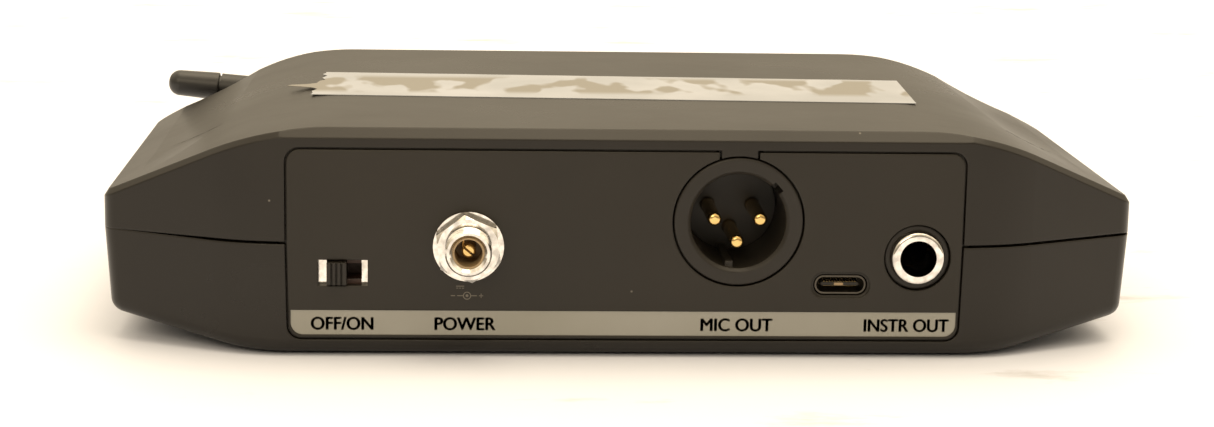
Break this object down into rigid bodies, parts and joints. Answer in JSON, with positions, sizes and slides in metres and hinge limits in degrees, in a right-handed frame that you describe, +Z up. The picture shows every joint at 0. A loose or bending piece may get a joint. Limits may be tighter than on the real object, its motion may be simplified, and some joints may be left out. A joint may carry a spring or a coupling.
{
  "type": "wireless audio receiver",
  "caption": "Low table-top wireless audio receiver case with swept wings, a rear connector panel, a front display and button panel, and folding stub antennas.",
  "frame": {"origin": "on the table under the middle of the case", "axes": "+X to the right when facing the connector panel, +Y from the connector panel towards the display panel, +Z up"},
  "size_m": [0.1826, 0.118, 0.0401],
  "materials": {
    "case_plastic": "fine moulded texture",
    "panel_plastic": "satin moulded face",
    "label_grey": "satin printed strip",
    "label_tape": "worn paper tape",
    "rubber_black": "matte",
    "window_clear": "glossy tinted",
    "display_dark": "glossy",
    "button_black": "satin",
    "board_green": "solder mask",
    "chip_black": "matte moulded",
    "can_steel": "tinned",
    "screw_steel": "zinc plated",
    "ribbon_amber": "satin film",
    "light_pipe_clear": "frosted",
    "connector_chrome": "bright plated",
    "contact_gold": "gold plated",
    "connector_black": "satin moulded",
    "connector_brown": "moulded",
    "antenna_rubber": "satin",
    "antenna_metal": "black plated"
  },
  "bodies": {
    "receiver": {"upper_shell": "case_plastic", "lower_shell": "case_plastic", "rear_panel": "panel_plastic", "rear_label_strip": "label_grey", "front_panel": "panel_plastic", "top_label_tape": "label_tape", "case_screws": "screw_steel", "rubber_feet": "rubber_black", "main_board": "board_green", "board_screws": "screw_steel", "board_chips": "chip_black", "rf_shield_can": "can_steel", "control_board": "board_green", "tact_switches": "chip_black", "display_module": "display_dark", "display_window": "window_clear", "display_ribbon": "ribbon_amber", "light_pipes": "light_pipe_clear", "status_leds": "light_pipe_clear", "power_switch_frame": "connector_chrome", "power_switch_body": "connector_brown", "dc_jack_bushing": "connector_chrome", "dc_jack_nut": "connector_chrome", "dc_jack_washer": "connector_chrome", "dc_jack_body": "connector_brown", "dc_jack_pin": "contact_gold", "xlr_housing": "connector_black", "xlr_insert": "connector_black", "xlr_pins": "contact_gold", "instrument_jack_ferrule": "connector_chrome", "instrument_jack_body": "connector_black", "instrument_jack_contacts": "contact_gold", "usb_c_shell": "can_steel", "usb_c_tongue": "connector_black", "left_antenna_base": "antenna_metal", "left_antenna_nut": "screw_steel", "right_antenna_base": "antenna_metal", "right_antenna_nut": "screw_steel"},
    "power_switch": {"power_switch_slider": "connector_black"},
    "group_button": {"group_button": "button_black"},
    "channel_button": {"channel_button": "button_black"},
    "link_button": {"link_button": "button_black"},
    "level_up_button": {"level_up_button": "button_black"},
    "level_down_button": {"level_down_button": "button_black"},
    "left_antenna_swivel": {"left_antenna_knuckle": "antenna_metal", "left_antenna_retaining_ring": "screw_steel", "left_antenna_elbow_pin": "screw_steel"},
    "left_antenna": {"left_antenna_mast": "antenna_rubber", "left_antenna_cap": "antenna_rubber"},
    "right_antenna_swivel": {"right_antenna_knuckle": "antenna_metal", "right_antenna_retaining_ring": "screw_steel", "right_antenna_elbow_pin": "screw_steel"},
    "right_antenna": {"right_antenna_mast": "antenna_rubber", "right_antenna_cap": "antenna_rubber"}
  },
  "joints": [
    {"name": "power_switch_slide", "type": "slide", "parent": "receiver", "child": "power_switch", "axis": [1, 0, 0], "range_m": [0, 0.0024]},
    {"name": "group_button_press", "type": "slide", "parent": "receiver", "child": "group_button", "axis": [0, -1, 0], "range_m": [0, 0.0005], "stiffness_N_per_m": 500},
    {"name": "channel_button_press", "type": "slide", "parent": "receiver", "child": "channel_button", "axis": [0, -1, 0], "range_m": [0, 0.0005], "stiffness_N_per_m": 500},
    {"name": "link_button_press", "type": "slide", "parent": "receiver", "child": "link_button", "axis": [0, -1, 0], "range_m": [0, 0.0005], "stiffness_N_per_m": 500},
    {"name": "level_up_button_press", "type": "slide", "parent": "receiver", "child": "level_up_button", "axis": [0, -1, 0], "range_m": [0, 0.0005], "stiffness_N_per_m": 500},
    {"name": "level_down_button_press", "type": "slide", "parent": "receiver", "child": "level_down_button", "axis": [0, -1, 0], "range_m": [0, 0.0005], "stiffness_N_per_m": 500},
    {"name": "left_antenna_turn", "type": "hinge", "parent": "receiver", "child": "left_antenna_swivel", "pos_m": [-0.065, 0.0561, 0.0297], "axis": [0, 1, 0], "range_deg": [-5, 175]},
    {"name": "left_antenna_elbow", "type": "hinge", "parent": "left_antenna_swivel", "child": "left_antenna", "pos_m": [-0.065, 0.0561, 0.0297], "axis": [-0.0872, 0, -0.9962], "range_deg": [0, 90]},
    {"name": "right_antenna_turn", "type": "hinge", "parent": "receiver", "child": "right_antenna_swivel", "pos_m": [0.065, 0.0561, 0.0297], "axis": [0, 1, 0], "range_deg": [-5, 175]},
    {"name": "right_antenna_elbow", "type": "hinge", "parent": "right_antenna_swivel", "child": "right_antenna", "pos_m": [0.065, 0.0561, 0.0297], "axis": [-0.0872, 0, -0.9962], "range_deg": [0, 90]}
  ]
}
